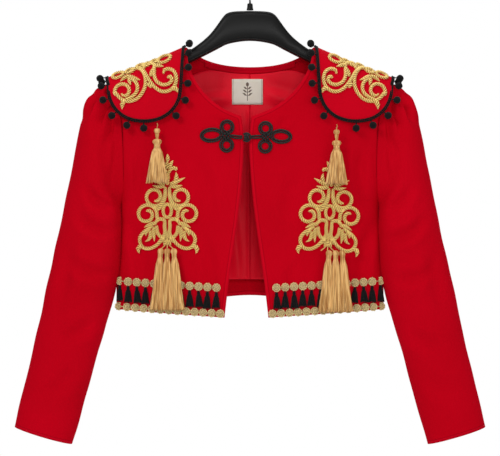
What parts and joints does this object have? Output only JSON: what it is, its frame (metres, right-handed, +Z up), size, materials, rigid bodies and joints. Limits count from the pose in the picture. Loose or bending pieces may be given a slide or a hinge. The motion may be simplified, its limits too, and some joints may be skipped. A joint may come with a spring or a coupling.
{
  "type": "matador jacket on a hanger",
  "caption": "Cropped collarless bolero jacket with gold scrollwork, tassels and black pompom trim, hanging open on a wide-shouldered hanger.",
  "frame": {"origin": "inside top of the hanger's hook, where a rail holds it", "axes": "+Z up; the garment faces -Y; +X is the wearer's left"},
  "size_m": [0.751, 0.1227, 0.7675],
  "materials": {
    "red_cloth": "smooth wool-like weave with a soft sheen",
    "satin_lining": "satin lining",
    "gold_rope": "twisted gold rope",
    "gold_thread": "gold rayon thread",
    "pale_gold_gimp": "woven metallic braid",
    "black_yarn": "black wool yarn and cord",
    "label_weave": "woven label",
    "black_plastic": "satin moulded plastic",
    "hook_wire": "bright steel wire"
  },
  "bodies": {
    "root": {"back": "red_cloth", "back_hem_facing": "red_cloth", "back_neck_facing": "red_cloth", "frog_button_side": "black_yarn", "frog_loop_side": "black_yarn", "hanger_body": "black_plastic", "hanger_hook": "hook_wire", "hanger_socket": "black_plastic", "left_epaulette": "red_cloth", "left_epaulette_embroidery": "gold_rope", "left_epaulette_tassel": "gold_thread", "left_front": "red_cloth", "left_front_applique": "gold_rope", "left_front_tassel_inner": "gold_thread", "left_front_tassel_middle": "gold_thread", "left_front_tassel_outer": "gold_thread", "left_hem_fringe": "black_yarn", "left_lining": "satin_lining", "left_lower_gimp": "pale_gold_gimp", "left_pompom_trim": "black_yarn", "left_sleeve": "red_cloth", "left_upper_gimp": "pale_gold_gimp", "neck_label": "label_weave", "right_epaulette": "red_cloth", "right_epaulette_embroidery": "gold_rope", "right_epaulette_tassel": "gold_thread", "right_front": "red_cloth", "right_front_applique": "gold_rope", "right_front_tassel_inner": "gold_thread", "right_front_tassel_middle": "gold_thread", "right_front_tassel_outer": "gold_thread", "right_hem_fringe": "black_yarn", "right_lining": "satin_lining", "right_lower_gimp": "pale_gold_gimp", "right_pompom_trim": "black_yarn", "right_sleeve": "red_cloth", "right_upper_gimp": "pale_gold_gimp"}
  },
  "joints": []
}
